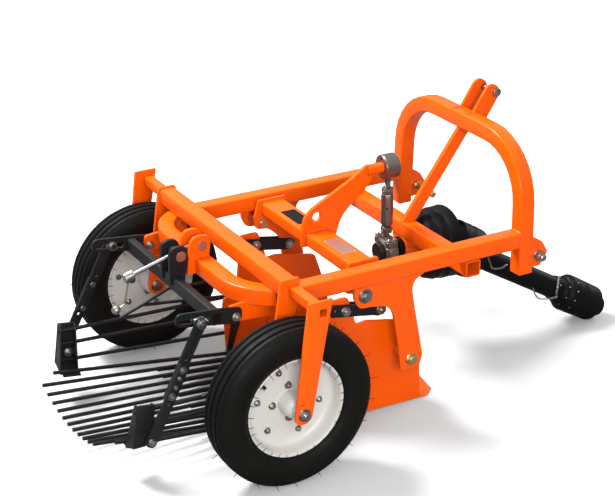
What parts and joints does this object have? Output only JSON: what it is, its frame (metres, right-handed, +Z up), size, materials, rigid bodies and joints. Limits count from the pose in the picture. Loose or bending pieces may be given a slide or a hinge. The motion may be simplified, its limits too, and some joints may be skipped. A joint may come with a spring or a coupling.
{
  "type": "potato harvester",
  "caption": "One-row potato digger for a small tractor: square-tube frame on two narrow wheels, shaken share and rod grate, driven by a telescoping shaft.",
  "frame": {"origin": "on the ground, under the middle of the machine's length and width", "axes": "+Z up, +Y forward towards the tractor, +X to the machine's right"},
  "size_m": [1.134, 1.8916, 0.8704],
  "materials": {
    "bare_steel": "bare machined steel",
    "black_paint": "satin black powder coat",
    "guard_plastic": "black moulded plastic",
    "orange_paint": "gloss orange powder coat",
    "rim_enamel": "light grey enamel",
    "tyre_rubber": "matt black rubber",
    "yellow_zinc": "yellow zinc plating",
    "zinc_plating": "bright zinc plating"
  },
  "bodies": {
    "frame": {"adjusting_screw": "zinc_plating", "axle_left": "zinc_plating", "axle_right": "zinc_plating", "front_cross_tube": "orange_paint", "grate_hanger": "black_paint", "guard_rear": "guard_plastic", "hitch_arch": "orange_paint", "hitch_pin_left": "yellow_zinc", "hitch_pin_right": "yellow_zinc", "input_bearing": "orange_paint", "input_cup": "guard_plastic", "leg_plate_left": "orange_paint", "leg_plate_right": "orange_paint", "lower_hitch_lug_left": "orange_paint", "lower_hitch_lug_right": "orange_paint", "mast_brace": "orange_paint", "rear_bow": "orange_paint", "rear_cross_tube": "orange_paint", "rocker_pivot_bolt_left": "zinc_plating", "rocker_pivot_bolt_right": "zinc_plating", "share_pivot_bolt_left": "zinc_plating", "share_pivot_bolt_right": "zinc_plating", "side_rail_left": "orange_paint", "side_rail_right": "orange_paint", "top_link_pin": "zinc_plating", "top_link_plate_left": "orange_paint", "top_link_plate_right": "orange_paint", "wheel_plate_inner_left": "orange_paint", "wheel_plate_inner_right": "orange_paint", "wheel_plate_outer_left": "orange_paint", "wheel_plate_outer_right": "orange_paint", "wheel_spacer_left": "orange_paint", "wheel_spacer_right": "orange_paint"},
    "wheel_left": {"rim_left": "rim_enamel", "tyre_left": "tyre_rubber"},
    "wheel_right": {"rim_right": "rim_enamel", "tyre_right": "tyre_rubber"},
    "rocker": {"rocker_arm": "orange_paint", "rocker_beam": "orange_paint", "rocker_end_left": "orange_paint", "rocker_end_right": "orange_paint"},
    "con_rod": {"connecting_rod": "bare_steel"},
    "link_left": {"share_link_left": "black_paint"},
    "link_right": {"share_link_right": "black_paint"},
    "share": {"share_blade": "orange_paint", "share_side_left": "orange_paint", "share_side_right": "orange_paint"},
    "grate": {"grate_rods": "black_paint", "grate_side_left": "black_paint", "grate_side_right": "black_paint"},
    "strap_left": {"grate_strap_left": "black_paint"},
    "strap_right": {"grate_strap_right": "black_paint"},
    "input_shaft": {"input_shaft": "bare_steel"},
    "drive_shaft": {"drive_shaft": "bare_steel"},
    "driveline": {"guard_front": "guard_plastic"},
    "tractor_yoke": {"tractor_yoke": "guard_plastic"}
  },
  "joints": [
    {"name": "wheel_left_spin", "type": "hinge", "parent": "frame", "child": "wheel_left", "pos_m": [-0.4697, -0.47922, 0.24], "axis": [1, 0, 0], "continuous": true},
    {"name": "wheel_right_spin", "type": "hinge", "parent": "frame", "child": "wheel_right", "pos_m": [0.4697, -0.47922, 0.24], "axis": [1, 0, 0], "continuous": true},
    {"name": "rocker_swing", "type": "hinge", "parent": "frame", "child": "rocker", "pos_m": [0, -0.16122, 0.432], "axis": [1, 0, 0], "range_deg": [-2, 2]},
    {"name": "con_rod_swing", "type": "hinge", "parent": "rocker", "child": "con_rod", "pos_m": [0, 0.13078, 0.657], "axis": [0, 1, 0], "range_deg": [-1.5, 1.5]},
    {"name": "link_left_swing", "type": "hinge", "parent": "rocker", "child": "link_left", "pos_m": [-0.267, -0.06922, 0.343], "axis": [1, 0, 0], "range_deg": [-2.11, 2.11]},
    {"name": "link_right_swing", "type": "hinge", "parent": "rocker", "child": "link_right", "pos_m": [0.267, -0.06922, 0.343], "axis": [1, 0, 0], "range_deg": [-2.11, 2.11]},
    {"name": "share_swing", "type": "hinge", "parent": "frame", "child": "share", "pos_m": [0, 0.00178, 0.19], "axis": [1, 0, 0], "range_deg": [-1.03, 1.03]},
    {"name": "grate_swing", "type": "hinge", "parent": "share", "child": "grate", "pos_m": [0, -0.26322, 0.1], "axis": [1, 0, 0], "range_deg": [-1.42, 1.42]},
    {"name": "strap_left_swing", "type": "hinge", "parent": "frame", "child": "strap_left", "pos_m": [-0.284, -0.66322, 0.4545], "axis": [1, 0, 0], "range_deg": [-0.33758, 0.33758]},
    {"name": "strap_right_swing", "type": "hinge", "parent": "frame", "child": "strap_right", "pos_m": [0.284, -0.66322, 0.4545], "axis": [1, 0, 0], "range_deg": [-0.33758, 0.33758]},
    {"name": "input_shaft_spin", "type": "hinge", "parent": "frame", "child": "input_shaft", "pos_m": [0, 0.20878, 0.378], "axis": [0, 1, 0], "continuous": true},
    {"name": "drive_shaft_spin", "type": "hinge", "parent": "frame", "child": "drive_shaft", "pos_m": [0, 0.31878, 0.378], "axis": [0.141, 0.8618, -0.4873], "continuous": true},
    {"name": "driveline_slide", "type": "slide", "parent": "frame", "child": "driveline", "axis": [0.141, 0.8618, -0.4873], "range_m": [-0.08, 0]},
    {"name": "tractor_yoke_spin", "type": "hinge", "parent": "driveline", "child": "tractor_yoke", "pos_m": [0.09, 0.86878, 0.067], "axis": [0.141, 0.8618, -0.4873], "continuous": true}
  ],
  "couplings": [
    {"joint": "link_left_swing", "follows": "rocker_swing", "ratio": -1.0535},
    {"joint": "link_right_swing", "follows": "rocker_swing", "ratio": -1.0535},
    {"joint": "share_swing", "follows": "rocker_swing", "ratio": -0.5153},
    {"joint": "grate_swing", "follows": "rocker_swing", "ratio": 0.71027},
    {"joint": "strap_left_swing", "follows": "rocker_swing", "ratio": -0.16879},
    {"joint": "strap_right_swing", "follows": "rocker_swing", "ratio": -0.16879},
    {"joint": "drive_shaft_spin", "follows": "input_shaft_spin", "ratio": 1},
    {"joint": "tractor_yoke_spin", "follows": "input_shaft_spin", "ratio": 1}
  ]
}
